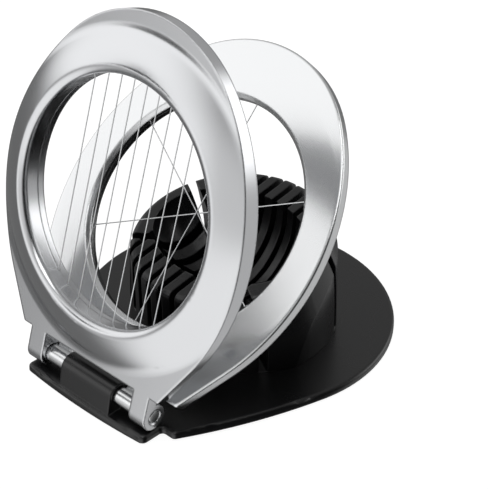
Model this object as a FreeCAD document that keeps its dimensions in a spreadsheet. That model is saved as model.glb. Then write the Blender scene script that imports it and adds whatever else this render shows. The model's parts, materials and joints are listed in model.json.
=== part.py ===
import FreeCAD, Part
import math
import os
import Sketcher

# A hinged kitchen slicer for boiled eggs, open, standing on its feet.
# A moulded base carries a slotted cup. Two cast frames turn on one pin at the base's front edge:
# the wedger, with three crossed wires, lies below the slicer, with nine parallel wires.
# The world frame has X along the pin, +Y from the pin towards the cup, +Z up and its origin under the
# middle of the base. Both frames and the base are drawn in a frame of their own at the pin: x along the
# pin, y away from it and z upwards when the frame is shut on the base.

Vector = FreeCAD.Vector
Placement = FreeCAD.Placement
Rotation = FreeCAD.Rotation
ALONG_X = Vector(1, 0, 0)
UPWARDS = Vector(0, 0, 1)
CLOSE = 1e-4

SIZES = {
    # Base plate, seen from above
    "base_radius": 55.0,
    "base_circle": 66.0,
    "base_side_radius": 200.0,
    "base_front_half_width": 32.8,
    "base_step": 3.0,
    "base_step_round": 1.5,
    "tab_half_width": 27.8,
    "tab_front": 7.0,
    "tab_bow": 1.4,
    "tab_corner_round": 2.0,
    # Base plate, through its thickness
    "base_thickness": 2.4,
    "base_edge_round": 1.2,
    # Feet
    "foot_radius": 5.0,
    "foot_proud": 0.8,
    "foot_seat": 0.9,
    "foot_fit": 0.1,
    "foot_edge_round": 0.3,
    "foot_front_inset": 8.0,
    "foot_back_inset": 6.2,
    "foot_back_angle": 47.5,
    # Hinge
    "ear_radius": 4.5,
    "ear_floor_gap": 0.3,
    "hinge_half_width": 27.6,
    "ear_width": 6.8,
    "barrel_radius": 3.2,
    "barrel_width": 8.6,
    "knuckle_gap": 0.3,
    "pin_radius": 2.2,
    "pin_clearance": 0.05,
    "pin_recess": 0.3,
    "pin_chamfer": 0.3,
    "ear_bore_chamfer": 0.4,
    # Both frames
    "ring_distance": 63.0,
    "rim_height": 5.0,
    "nest_gap": 0.35,
    "side_centre": 60.3,
    "taper_start": 23.0,
    "foot_corner_round": 1.2,
    "wire_radius": 0.2,
    "wire_gap": 0.03,
    "wire_tuck": 4.0,
    "ring_step": 0.3,
    "ring_fit": 0.1,
    # Slicer frame
    "slicer_open": 73.5,
    "slicer_half_width": 51.5,
    "slicer_side_radius": 70.5,
    "slicer_top_radius": 44.5,
    "slicer_foot": 7.8,
    "slicer_hole": 39.5,
    "dome_outer": 55.0,
    "dome_radius": 40.0,
    "crease_round": 6.0,
    "lip_height": 10.3,
    "lip_radius": 2.5,
    "slicer_wire_height": 3.4,
    "slicer_wire_pitch": 5.5,
    "slicer_ring_outer": 46.0,
    "slicer_screw_depth": 3.5,
    # Wedger frame
    "wedger_open": 46.0,
    "wedger_half_width": 53.0,
    "wedger_side_radius": 72.0,
    "wedger_top_radius": 46.0,
    "wedger_foot": 6.0,
    "wedger_edge_round": 0.7,
    "wedger_hole": 40.3,
    "wedger_thickness": 3.0,
    "wedger_rim": 4.0,
    "wedger_recess": 50.0,
    "dish_outer": 52.0,
    "dish_depth": 0.2,
    "dish_edge": 1.3,
    "wedger_ring_outer": 47.0,
    "wedger_ring_thickness": 2.2,
    "wire_layer_gap": 0.08,
    "wedge_angle": 61.0,
    "wedger_screw_depth": 1.6,
    # Cup
    "cup_distance": 61.8,
    "cup_radius": 37.7,
    "cup_draft": 1.8,
    "crown_radius": 34.0,
    "crown_height": 32.6,
    "crown_tilt": 9.8,
    "shoulder_depth": 20.4,
    "shoulder_tilt": 13.0,
    "crown_round": 2.5,
    "bowl_half_length": 29.5,
    "bowl_radius": 22.5,
    "bowl_height": 34.0,
    "slot_width": 2.2,
    "slot_depth_gap": 0.6,
    "wedge_slot_width": 3.0,
    "wedge_slot_turn": 60.0,
    "slot_overrun": 8.0,
    # Screws
    "screw_radius": 1.0,
    "screw_head_radius": 1.9,
    "screw_head_height": 1.1,
    "screw_gap": 0.05,
    "screw_head_gap": 0.15,
    "screw_recess_width": 0.5,
    "screw_recess_span": 2.0,
    "screw_recess_depth": 0.6,
    "cup_screw_circle": 20.0,
    "cup_screw_depth": 6.0,
}

SLICER_WIRES = 9
WEDGER_WIRES = (0, 1, -1)
SCREWS_PER_CIRCLE = 4

# Sizes that follow from the driving ones
DERIVED = {
    "hinge_y": "-(Dims.base_circle + Dims.base_radius - Dims.tab_front) / 2",
    "base_top": "Dims.foot_proud + Dims.base_thickness",
    "pin_over_floor": "Dims.ear_floor_gap + Dims.rim_height",
    "pin_over_base": "Dims.base_thickness + Layout.pin_over_floor",
    "hinge_z": "Dims.foot_proud + Layout.pin_over_base",
    "pin_hole": "Dims.pin_radius + Dims.pin_clearance",
    "pin_length": "2 * (Dims.hinge_half_width - Dims.pin_recess)",
    "ear_inside": "Dims.hinge_half_width - Dims.ear_width",
    "barrel_outside": "Layout.ear_inside - Dims.knuckle_gap",
    "barrel_inside": "Layout.barrel_outside - Dims.barrel_width",
    "knuckle_width": "2 * (Layout.barrel_inside - Dims.knuckle_gap)",
    "foot_height": "Dims.foot_proud + Dims.foot_seat",
    "foot_hole": "Dims.foot_radius + Dims.foot_fit",
    "cup_y": "Layout.hinge_y + Dims.cup_distance",
    "wire_groove": "2 * (Dims.wire_radius + Dims.wire_gap)",
    "slicer_seam": "Dims.slicer_wire_height - Dims.wire_radius - Dims.wire_gap",
    "slicer_ring_inner": "Dims.slicer_hole + Dims.ring_step",
    "slicer_rebate": "Dims.slicer_ring_outer + Dims.ring_fit",
    "slicer_ring_thickness": "Layout.slicer_seam - Dims.nest_gap",
    "slicer_screw_circle": "(Layout.slicer_ring_inner + Dims.slicer_ring_outer) / 2",
    "wedger_wire_top": "-Dims.wedger_thickness - Dims.wire_gap - Dims.wire_radius",
    "wire_layer": "2 * Dims.wire_radius + Dims.wire_layer_gap",
    "dish_low": "Dims.dish_depth + Dims.dish_edge",
    "wedger_ring_inner": "Dims.wedger_hole + Dims.ring_step",
    "wedger_ring_bottom": "-Dims.wedger_thickness - Dims.wedger_ring_thickness",
    "wedger_screw_circle": "(Layout.wedger_ring_inner + Dims.wedger_ring_outer) / 2",
    "screw_hole": "Dims.screw_radius + Dims.screw_gap",
    "head_hole": "Dims.screw_head_radius + Dims.screw_head_gap",
    "head_seat": "Dims.screw_head_height + Dims.screw_gap",
    "slot_reach": "Dims.cup_radius + Dims.slot_overrun",
}

doc = FreeCAD.newDocument("EggSlicer")
sheet = doc.addObject("Spreadsheet::Sheet", "Dims")
for row, (name, number) in enumerate(SIZES.items(), 1):
    sheet.set(f"A{row}", name)
    sheet.set(f"B{row}", str(number))
    sheet.setAlias(f"B{row}", name)
doc.recompute()

layout = doc.addObject("App::VarSet", "Layout")
for name, formula in DERIVED.items():
    layout.addProperty("App::PropertyFloat", name, "Derived")
    layout.setExpression(name, formula)
    doc.recompute()


def size(name):
    """The present value of a driving size or of one that follows from it."""
    if name in SIZES:
        return float(sheet.get(name))
    return float(getattr(layout, name))


def formula_of(name):
    """The expression that reads a size in the document."""
    return f"Dims.{name}" if name in SIZES else f"Layout.{name}"


def bind(thing, **sizes):
    """Tie an object's properties to sizes, or to expressions where a formula is given."""
    for prop, name in sizes.items():
        known = name in SIZES or name in DERIVED
        thing.setExpression(prop, formula_of(name) if known else name)


def new_body(name):
    body = doc.addObject("PartDesign::Body", name)
    body.Label = name
    return body


def new_sketch(body, name, role, **offsets):
    """A sketch on one of the body's own planes, moved along its axes by named sizes."""
    sketch = body.newObject("Sketcher::SketchObject", name)
    plane = next(feature for feature in body.Origin.OriginFeatures if feature.Role == role)
    sketch.AttachmentSupport = [(plane, "")]
    sketch.MapMode = "FlatFace"
    for axis, formula in offsets.items():
        sketch.setExpression(f"AttachmentOffset.Base.{axis}", formula)
    return sketch


def hold(sketch, kind, name, *where):
    """Add a dimension to a sketch and tie it to a size."""
    index = sketch.addConstraint(Sketcher.Constraint(kind, *where, size(name)))
    sketch.setExpression(f"Constraints[{index}]", formula_of(name))


def draw_chain(sketch, pieces):
    """Draw a closed chain of lines (start, end) and arcs (start, end, centre, turn), and join their ends.

    The turn of an arc is 1 where it runs anticlockwise from start to end, and -1 where it runs back.
    Returns each piece as (index, start point, end point), the last two in the sketcher's own numbering.
    """
    drawn = []
    for piece in pieces:
        start, end = Vector(*piece[0], 0), Vector(*piece[1], 0)
        if len(piece) == 2:
            index = sketch.addGeometry(Part.LineSegment(start, end), False)
            drawn.append((index, 1, 2))
            continue
        centre, turn = Vector(*piece[2], 0), piece[3]
        first, last = (start, end) if turn > 0 else (end, start)
        first_angle = math.atan2(first.y - centre.y, first.x - centre.x)
        last_angle = math.atan2(last.y - centre.y, last.x - centre.x)
        if last_angle <= first_angle:
            last_angle += 2 * math.pi
        circle = Part.Circle(centre, UPWARDS, first.sub(centre).Length)
        index = sketch.addGeometry(Part.ArcOfCircle(circle, first_angle, last_angle), False)
        drawn.append((index, 1, 2) if turn > 0 else (index, 2, 1))
    for (index, _, end), (following, start, _) in zip(drawn, drawn[1:] + drawn[:1]):
        sketch.addConstraint(Sketcher.Constraint("Coincident", index, end, following, start))
    return drawn


def draw_circles(sketch, centres, radius_name):
    """Draw circles of one size round the given centres."""
    for x, y in centres:
        circle = Part.Circle(Vector(x, y, 0), UPWARDS, size(radius_name))
        index = sketch.addGeometry(circle, False)
        hold(sketch, "Radius", radius_name, index)


def draw_box(sketch, low, high):
    """Draw an upright rectangle between two corners."""
    corners = [low, (high[0], low[1]), high, (low[0], high[1])]
    return draw_chain(sketch, list(zip(corners, corners[1:] + corners[:1])))


def screw_circle(radius_name, centre_name=None):
    """Places of a ring of screws on the diagonals, clear of every wire, round a centre on the y axis."""
    radius, centre_y = size(radius_name), size(centre_name) if centre_name else 0
    angles = [2 * math.pi * (step + 0.5) / SCREWS_PER_CIRCLE for step in range(SCREWS_PER_CIRCLE)]
    return [(radius * math.cos(angle), centre_y + radius * math.sin(angle)) for angle in angles]


def ring_screws(kind):
    """Places of the screws that hold a frame's back ring."""
    return screw_circle(f"{kind}_screw_circle", "ring_distance")


def add_pad(body, sketch, name, length, both_ways=False):
    pad = body.newObject("PartDesign::Pad", name)
    pad.Profile = sketch
    pad.SideType = "Symmetric" if both_ways else "One side"
    bind(pad, Length=length)
    doc.recompute()
    return pad


def add_pocket(body, sketch, name, length, both_ways=False):
    """Cut a profile out of the body, upwards from its sketch or to both sides, and see that it cut."""
    before = body.Shape.Volume
    pocket = body.newObject("PartDesign::Pocket", name)
    pocket.Profile = sketch
    pocket.SideType = "Symmetric" if both_ways else "One side"
    pocket.Reversed = not both_ways
    bind(pocket, Length=length)
    doc.recompute()
    require_cut(before, body, name)
    return pocket


def add_groove(body, sketch, name):
    """Turn a profile about its sketch's upright axis, cutting it out of the body."""
    before = body.Shape.Volume
    groove = body.newObject("PartDesign::Groove", name)
    groove.Profile = sketch
    groove.ReferenceAxis = (sketch, ["V_Axis"])
    groove.Angle = 360
    doc.recompute()
    require_cut(before, body, name)
    return groove


def require_cut(before, body, name):
    if body.Shape.Volume >= before:
        raise RuntimeError(f"{name} cuts nothing")


def dress_edges(body, kind, name, chosen, **sizes):
    """Round or bevel the edges of the body's present shape that a test picks."""
    names = [f"Edge{number}" for number, edge in enumerate(body.Shape.Edges, 1) if chosen(edge)]
    if not names:
        raise RuntimeError(f"{name} finds no edge")
    plain = body.Tip
    dressed = body.newObject(f"PartDesign::{kind}", name)
    dressed.Base = (plain, names)
    bind(dressed, **sizes)
    doc.recompute()


def add_fillet(body, name, radius_name, chosen):
    dress_edges(body, "Fillet", name, chosen, Radius=radius_name)


def add_chamfer(body, name, size_name, chosen):
    dress_edges(body, "Chamfer", name, chosen, Size=size_name)


def level_with(edge, height):
    """True where an edge lies flat at a height."""
    box = edge.BoundBox
    return abs(box.ZMin - height) < CLOSE and abs(box.ZMax - height) < CLOSE


def upright_at(edge, x, y):
    """True where an edge stands upright at a point, on either side."""
    box = edge.BoundBox
    middle = box.Center
    return box.ZLength > CLOSE and box.DiagonalLength - box.ZLength < CLOSE and (
        abs(abs(middle.x) - x) < CLOSE and abs(middle.y - y) < CLOSE)


def primitive(kind, name, **sizes):
    """A Part solid whose sizes are tied to the sheet."""
    solid = doc.addObject(f"Part::{kind}", name)
    bind(solid, **sizes)
    doc.recompute()
    return solid


def boolean(kind, name, base, tool):
    joined = doc.addObject(f"Part::{kind}", name)
    joined.Base = base
    joined.Tool = tool
    # Merging the split faces afterwards can spoil a sound solid
    joined.Refine = False
    doc.recompute()
    return joined


def fuse_all(name, shapes):
    fused = doc.addObject("Part::MultiFuse", name)
    fused.Shapes = shapes
    fused.Refine = False
    doc.recompute()
    return fused


def place_in_world(body, angle=None):
    """Put a body that is drawn at the pin into the world, turned open about the pin."""
    if angle:
        body.Placement = Placement(Vector(), Rotation(ALONG_X, size(angle)))
        body.setExpression("Placement.Rotation.Angle", formula_of(angle))
    body.setExpression("Placement.Base.y", "Layout.hinge_y")
    body.setExpression("Placement.Base.z", "Layout.hinge_z" if angle else "Dims.foot_proud")


def at_pin(angle):
    """The world place of a frame that is turned open by a named angle."""
    return Placement(Vector(0, size("hinge_y"), size("hinge_z")), Rotation(ALONG_X, size(angle)))


# Base plate: a round end, slack sides, and a tab at the front that carries the centre knuckle


def base_outline():
    """The right half of the outline, from the front of the tab to the far end, then mirrored."""
    radius, far_y = size("base_radius"), size("base_circle")
    side_radius, step = size("base_side_radius"), size("base_step")
    corner_x = size("base_front_half_width")
    # The side's arc passes the front corner and holds the round end within it
    reach = side_radius - radius
    apart = math.hypot(corner_x, far_y - step)
    inwards = (apart ** 2 + reach ** 2 - side_radius ** 2) / (2 * apart * reach)
    angle = math.atan2(step - far_y, corner_x) - math.acos(inwards)
    side_centre = (reach * math.cos(angle), far_y + reach * math.sin(angle))
    leave = (-radius * math.cos(angle), far_y - radius * math.sin(angle))
    tab = size("tab_half_width")
    tab_corner = size("tab_bow") - size("tab_front")
    bow_radius = (tab ** 2 + size("tab_bow") ** 2) / (2 * size("tab_bow"))
    bow_centre = (0, bow_radius - size("tab_front"))
    return [
        ((tab, tab_corner), (tab, step)),
        ((tab, step), (corner_x, step)),
        ((corner_x, step), leave, side_centre, 1),
        (leave, (-leave[0], leave[1]), (0, far_y), 1),
        ((-leave[0], leave[1]), (-corner_x, step), (-side_centre[0], side_centre[1]), 1),
        ((-corner_x, step), (-tab, step)),
        ((-tab, step), (-tab, tab_corner)),
        ((-tab, tab_corner), (tab, tab_corner), bow_centre, 1),
    ]


def knuckle_outline():
    """Side view of the centre knuckle: round over the pin, sloping down to the front of the tab."""
    radius, height = size("ear_radius"), size("pin_over_base")
    sunk = size("base_thickness") / 2
    front = (size("base_edge_round") - size("tab_front"), sunk)
    away = math.hypot(front[0], front[1] - height)
    touch_angle = math.atan2(front[1] - height, front[0]) - math.acos(radius / away)
    touch = (radius * math.cos(touch_angle), height + radius * math.sin(touch_angle))
    return [
        ((radius, sunk), (radius, height)),
        ((radius, height), touch, (0, height), 1),
        (touch, front),
        (front, (radius, sunk)),
    ]


def make_base_plate():
    body = new_body("base_plate")
    outline = new_sketch(body, "base_outline", "XY_Plane")
    drawn = draw_chain(outline, base_outline())
    for index, name in ((2, "base_side_radius"), (3, "base_radius"), (4, "base_side_radius")):
        hold(outline, "Radius", name, drawn[index][0])
    hold(outline, "DistanceY", "base_circle", -1, 1, drawn[3][0], 3)
    hold(outline, "DistanceX", "tab_half_width", -1, 1, drawn[0][0], 1)
    hold(outline, "DistanceY", "base_step", -1, 1, drawn[0][0], 2)
    add_pad(body, outline, "base_slab", "base_thickness")
    tab, tab_corner = size("tab_half_width"), size("tab_bow") - size("tab_front")
    add_fillet(body, "tab_corners", "tab_corner_round", lambda edge: upright_at(edge, tab, tab_corner))
    step_corners = base_outline()[1]
    add_fillet(body, "step_corners", "base_step_round",
               lambda edge: any(upright_at(edge, *corner) for corner in step_corners))
    top = size("base_thickness")
    add_fillet(body, "base_edge", "base_edge_round", lambda edge: level_with(edge, top))

    side = new_sketch(body, "knuckle_side", "YZ_Plane")
    drawn = draw_chain(side, knuckle_outline())
    hold(side, "Radius", "ear_radius", drawn[1][0])
    hold(side, "DistanceY", "pin_over_base", -1, 1, drawn[1][0], 3)
    add_pad(body, side, "centre_knuckle", "knuckle_width", both_ways=True)
    bore = new_sketch(body, "knuckle_bore_circle", "YZ_Plane")
    draw_circles(bore, [(0, size("pin_over_base"))], "pin_hole")
    hold(bore, "DistanceY", "pin_over_base", -1, 1, 0, 3)
    add_pocket(body, bore, "knuckle_bore", "2 * Layout.knuckle_width", both_ways=True)

    seats = new_sketch(body, "foot_seat_circles", "XY_Plane")
    draw_circles(seats, foot_places(), "foot_hole")
    add_pocket(body, seats, "foot_seats", "foot_seat")
    places = screw_circle("cup_screw_circle", "cup_distance")
    shanks = new_sketch(body, "cup_screw_circles", "XY_Plane")
    draw_circles(shanks, places, "screw_hole")
    add_pocket(body, shanks, "cup_screw_holes", "2 * Dims.base_thickness")
    heads = new_sketch(body, "cup_screw_head_circles", "XY_Plane")
    draw_circles(heads, places, "head_hole")
    add_pocket(body, heads, "cup_screw_seats", "head_seat")
    place_in_world(body)
    return body


def foot_places():
    """The feet, measured from the pin: two near the hinge and two under the far end."""
    front_x = size("base_front_half_width") - size("foot_front_inset")
    front_y = size("base_step") + size("foot_front_inset")
    reach, angle = size("base_radius") - size("foot_back_inset"), math.radians(size("foot_back_angle"))
    back_x, back_y = reach * math.cos(angle), size("base_circle") + reach * math.sin(angle)
    return [(-front_x, front_y), (front_x, front_y), (-back_x, back_y), (back_x, back_y)]


def make_feet():
    feet = []
    for number, (x, y) in enumerate(foot_places(), 1):
        disc = primitive("Cylinder", f"foot_disc_{number}", Radius="foot_radius", Height="foot_height")
        foot = doc.addObject("Part::Fillet", f"rubber_foot_{number}")
        foot.Base = disc
        rounding = size("foot_edge_round")
        low_edge = next(index for index, edge in enumerate(disc.Shape.Edges, 1) if level_with(edge, 0))
        foot.Edges = [(low_edge, rounding, rounding)]
        foot.Placement.Base = Vector(x, size("hinge_y") + y, 0)
        foot.Label = f"rubber_foot_{number}"
        feet.append(foot)
    doc.recompute()
    return feet


# Cup: a drum with a leaning shoulder and a tilted crown, hollowed to hold an egg and slotted for the wires


def make_egg_cup():
    """The cup, built on its own axis with the base's top at nought, then set on the base."""
    half = "(Dims.crown_height + Dims.cup_radius)"
    # The drum narrows upwards, so that its far wall keeps clear of the frames as they swing down past it
    drum = primitive("Cone", "cup_drum", Height=half, Radius1="cup_radius",
                     Radius2=f"Dims.cup_radius - {half} * tan(Dims.cup_draft * 1 deg)")
    # The shoulder is a leaning cone that has the crown's radius at the crown and runs on above it
    lean = f"{half} * (Dims.cup_radius - Dims.crown_radius) / Dims.shoulder_depth"
    cone = primitive("Cone", "cup_shoulder", Height=f"2 * {half}", Radius1=f"Dims.crown_radius + {lean}",
                     Radius2=f"Dims.crown_radius - {lean}")
    below = primitive("Cylinder", "cup_below_crown", Height=half, Radius="2 * Dims.cup_radius")
    crown = Vector(0, 0, size("crown_height"))
    for solid, tilt in ((cone, "shoulder_tilt"), (below, "crown_tilt")):
        turn = Rotation(ALONG_X, size(tilt))
        solid.Placement = Placement(crown - turn.multVec(UPWARDS) * float(below.Height), turn)
    outside = doc.addObject("Part::MultiCommon", "cup_outside")
    outside.Shapes = [drum, cone, below]
    doc.recompute()

    rounded = doc.addObject("Part::Fillet", "cup_rounded")
    rounded.Base = outside
    top = max(outside.Shape.Faces, key=lambda face: face.CenterOfMass.z)
    rounding = size("crown_round")
    rounded.Edges = [(number, rounding, rounding) for number, edge in enumerate(outside.Shape.Edges, 1)
                     if any(edge.isSame(border) for border in top.Edges)]
    doc.recompute()

    bowl = primitive("Ellipsoid", "cup_bowl", Radius1="bowl_radius", Radius2="bowl_half_length",
                     Radius3="bowl_radius")
    bowl.Placement.Base = Vector(0, 0, size("bowl_height"))
    # The cuts are made one after another, which is sounder than one cut by all of them fused
    cup = boolean("Cut", "cup_with_bowl", rounded, bowl)
    cup = boolean("Cut", "cup_with_slots", cup, fuse_all("slicer_slots", slicer_slots()))
    for number, path in enumerate(wedge_slots(), 1):
        cup = boolean("Cut", f"cup_with_wedge_slot_{number}", cup, path)
    cup = boolean("Cut", "egg_cup", cup, fuse_all("cup_hole_group", cup_screw_holes()))
    cup.Label = "egg_cup"
    cup.Placement.Base = Vector(0, size("cup_y"), size("base_top"))
    return cup


def pin_from_cup():
    """The pin's place in the cup's own frame."""
    return Vector(0, -size("cup_distance"), size("pin_over_floor"))


def slicer_slots():
    """Upright slots for the nine wires; the middle one is deeper, because a wedger wire drops into it too."""
    slots = []
    floor = size("pin_over_floor") + size("slicer_wire_height") - size("wire_radius") - size("slot_depth_gap")
    deep_floor = size("pin_over_floor") + lowest_wedger_wire() - size("slot_depth_gap")
    for number in range(SLICER_WIRES):
        step = number - (SLICER_WIRES - 1) / 2
        slot = primitive("Box", f"slicer_slot_{number + 1}", Length="slot_width",
                         Width="2 * Layout.slot_reach", Height="2 * Dims.crown_height")
        slot.Placement.Base = Vector(step * size("slicer_wire_pitch") - size("slot_width") / 2,
                                     -size("slot_reach"), deep_floor if step == 0 else floor)
        slots.append(slot)
    return slots


def wedger_wire_heights():
    """Heights of the crossed wires in the shut frame, stacked so that they pass one another."""
    return [size("wedger_wire_top") - number * size("wire_layer") for number in range(len(WEDGER_WIRES))]


def wedger_wire_angles():
    """Directions of the crossed wires; the first lies square to the pin."""
    return [90 + turn * size("wedge_angle") for turn in WEDGER_WIRES]


def lowest_wedger_wire():
    return min(wedger_wire_heights()) - size("wire_radius")


def wedge_slots():
    """The slanting wires' paths as the frame opens: a strip turned about the pin."""
    slots = []
    strip_height = size("pin_over_floor") + lowest_wedger_wire() - size("slot_depth_gap")
    ahead = size("ring_distance") - size("cup_distance")
    for number, angle in enumerate(wedger_wire_angles()[1:], 1):
        strip = primitive("Plane", f"wedge_strip_{number}", Length="2 * Layout.slot_reach",
                          Width="wedge_slot_width")
        turn = Rotation(UPWARDS, angle)
        corner = turn.multVec(Vector(-size("slot_reach"), -size("wedge_slot_width") / 2, 0))
        strip.Placement = Placement(Vector(0, ahead, strip_height) + corner, turn)
        path = doc.addObject("Part::Revolution", f"wedge_slot_{number}")
        path.Source = strip
        path.Axis = ALONG_X
        path.Base = pin_from_cup()
        path.Solid = True
        bind(path, Angle="wedge_slot_turn")
        doc.recompute()
        slots.append(path)
    return slots


def cup_screw_holes():
    holes = []
    for number, (x, y) in enumerate(screw_circle("cup_screw_circle"), 1):
        hole = primitive("Cylinder", f"cup_screw_hole_{number}", Radius="screw_hole",
                         Height="Dims.cup_screw_depth + Dims.screw_gap")
        hole.Placement.Base = Vector(x, y, 0)
        holes.append(hole)
    return holes


# Screws: a flat head with a crossed recess and a plain shank, drawn head down


def make_screws(name, length_formula, places):
    """A group of like screws under one name, each standing head down at its own place."""
    head = primitive("Cylinder", f"{name}_head", Radius="screw_head_radius", Height="screw_head_height")
    shank = primitive("Cylinder", f"{name}_shank", Radius="screw_radius",
                      Height=f"Dims.screw_head_height + {length_formula}")
    blank = boolean("Fuse", f"{name}_blank", head, shank)
    span, width = size("screw_recess_span"), size("screw_recess_width")
    arms = []
    for number, (along, across) in enumerate(((span, width), (width, span)), 1):
        arm = primitive("Box", f"{name}_recess_{number}", Height="screw_recess_depth",
                        Length="screw_recess_span" if along == span else "screw_recess_width",
                        Width="screw_recess_width" if along == span else "screw_recess_span")
        arm.Placement.Base = Vector(-along / 2, -across / 2, 0)
        arms.append(arm)
    screw = boolean("Cut", f"{name}_pattern", blank, fuse_all(f"{name}_recess", arms))
    group = doc.addObject("Part::Feature", name)
    copies = []
    for place in places:
        copy = screw.Shape.copy()
        copy.Placement = place
        copies.append(copy)
    group.Shape = Part.makeCompound(copies)
    group.Label = name
    return group


# Frames: a leaf-shaped plate with a round opening, hinge parts at its foot, and a ring that traps the wires


def leaf_outline(kind):
    """A plate's outline: a straight foot, tapering sides, long side curves and a round top."""
    half, side_radius = size(f"{kind}_half_width"), size(f"{kind}_side_radius")
    top_radius, foot = size(f"{kind}_top_radius"), size(f"{kind}_foot")
    side_y, taper_y = size("side_centre"), size("taper_start")
    side_x = half - side_radius
    top_y = side_y + math.sqrt((side_radius - top_radius) ** 2 - side_x ** 2)
    towards = Vector(-side_x, top_y - side_y, 0).normalize()
    meet = (side_x + side_radius * towards.x, side_y + side_radius * towards.y)
    taper_x = side_x + math.sqrt(side_radius ** 2 - (side_y - taper_y) ** 2)
    slope = (side_y - taper_y) / (taper_x - side_x)
    foot_x = taper_x - slope * (taper_y - foot)
    return [
        ((-foot_x, foot), (foot_x, foot)),
        ((foot_x, foot), (taper_x, taper_y)),
        ((taper_x, taper_y), meet, (side_x, side_y), 1),
        (meet, (-meet[0], meet[1]), (0, top_y), 1),
        ((-meet[0], meet[1]), (-taper_x, taper_y), (-side_x, side_y), 1),
        ((-taper_x, taper_y), (-foot_x, foot)),
    ]


def draw_leaf(body, kind, height):
    """Draw a frame's outline at a height and tie its main sizes to the sheet."""
    sketch = new_sketch(body, f"{kind}_outline", "XY_Plane", z=height)
    drawn = draw_chain(sketch, leaf_outline(kind))
    hold(sketch, "DistanceY", f"{kind}_foot", -1, 1, drawn[0][0], 1)
    hold(sketch, "DistanceY", "taper_start", -1, 1, drawn[2][0], 1)
    for index, name in ((2, "side"), (3, "top"), (4, "side")):
        hold(sketch, "Radius", f"{kind}_{name}_radius", drawn[index][0])
    hold(sketch, "DistanceY", "side_centre", -1, 1, drawn[2][0], 3)
    hold(sketch, "DistanceY", "side_centre", -1, 1, drawn[4][0], 3)
    return sketch


def round_foot_corners(body, kind):
    """Round the two corners where a frame's sides meet its foot."""
    foot_x, foot_y = leaf_outline(kind)[0][1]
    add_fillet(body, f"{kind}_corners", "foot_corner_round", lambda edge: upright_at(edge, foot_x, foot_y))


def add_hinge_parts(body, kind, profile, outside, inside):
    """Add a frame's barrel along the pin, open it between its two ends and bore it for the pin."""
    side = new_sketch(body, f"{kind}_hinge_side", "YZ_Plane")
    draw_chain(side, profile)
    add_pad(body, side, f"{kind}_barrel", f"2 * {formula_of(outside)}", both_ways=True)
    room = new_sketch(body, f"{kind}_hinge_room", "YZ_Plane")
    reach = 2 * size("rim_height")
    draw_box(room, (-reach, -reach), (size(f"{kind}_foot"), reach))
    add_pocket(body, room, f"{kind}_hinge_gap", f"2 * {formula_of(inside)}", both_ways=True)
    bore = new_sketch(body, f"{kind}_bore_circle", "YZ_Plane")
    draw_circles(bore, [(0, 0)], "pin_hole")
    add_pocket(body, bore, f"{kind}_bore", "4 * Dims.hinge_half_width", both_ways=True)


def ends_the_bore(edge):
    """True where an edge is the mouth of the pin's bore in an ear's outer face."""
    box = edge.BoundBox
    return box.XLength < CLOSE and abs(abs(box.XMin) - size("hinge_half_width")) < CLOSE and (
        abs(box.YLength - 2 * size("pin_hole")) < CLOSE and abs(box.Center.y) < CLOSE)


def ear_profile():
    """Side view of a slicer ear: a barrel round the pin that runs into the plate, level with its face."""
    radius, low, rim = size("ear_radius"), size("nest_gap"), size("rim_height")
    middle = rim - radius
    back = math.sqrt(radius ** 2 - (low - middle) ** 2)
    reach = size("slicer_foot") + radius
    return [
        ((reach, rim), (0, rim)),
        ((0, rim), (back, low), (0, middle), 1),
        ((back, low), (reach, low)),
        ((reach, low), (reach, rim)),
    ]


def wedger_barrel_profile():
    """Side view of a wedger barrel: a small tube with the plate's edge running into it."""
    radius, low = size("barrel_radius"), -size("wedger_thickness")
    reach = size("wedger_foot") + radius
    back = math.sqrt(radius ** 2 - low ** 2)
    return [
        ((reach, 0), (radius, 0)),
        ((radius, 0), (back, low), (0, 0), 1),
        ((back, low), (reach, low)),
        ((reach, low), (reach, 0)),
    ]


def dome_profile():
    """What is cut away round the slicer's opening: the opening itself, and all above the dome and the rim."""
    hole, outer, rim = size("slicer_hole"), size("dome_outer"), size("rim_height")
    lip, lip_top = size("lip_radius"), size("lip_height")
    dome, crease = size("dome_radius"), size("crease_round")
    lip_centre, hollow = (hole + lip, lip_top - lip), (outer, rim + crease)
    # The dome's arc touches the lip's arc from outside and the hollow crease's arc from within
    apart = math.hypot(hollow[0] - lip_centre[0], hollow[1] - lip_centre[1])
    along = (apart ** 2 + (dome - lip) ** 2 - (dome + crease) ** 2) / (2 * apart)
    below = math.sqrt((dome - lip) ** 2 - along ** 2)
    way = ((hollow[0] - lip_centre[0]) / apart, (hollow[1] - lip_centre[1]) / apart)
    centre = (lip_centre[0] + along * way[0] + below * way[1],
              lip_centre[1] + along * way[1] - below * way[0])
    out = math.hypot(lip_centre[0] - centre[0], lip_centre[1] - centre[1])
    meet = (lip_centre[0] + lip * (lip_centre[0] - centre[0]) / out,
            lip_centre[1] + lip * (lip_centre[1] - centre[1]) / out)
    share = dome / (dome + crease)
    leave = (centre[0] + share * (hollow[0] - centre[0]), centre[1] + share * (hollow[1] - centre[1]))
    ceiling, far = 2 * lip_top, 2 * outer
    return [
        ((0, -ceiling), (hole, -ceiling)),
        ((hole, -ceiling), (hole, lip_centre[1])),
        ((hole, lip_centre[1]), meet, lip_centre, -1),
        (meet, leave, centre, -1),
        (leave, (outer, rim), hollow, 1),
        ((outer, rim), (far, rim)),
        ((far, rim), (far, ceiling)),
        ((far, ceiling), (0, ceiling)),
        ((0, ceiling), (0, -ceiling)),
    ]


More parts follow.
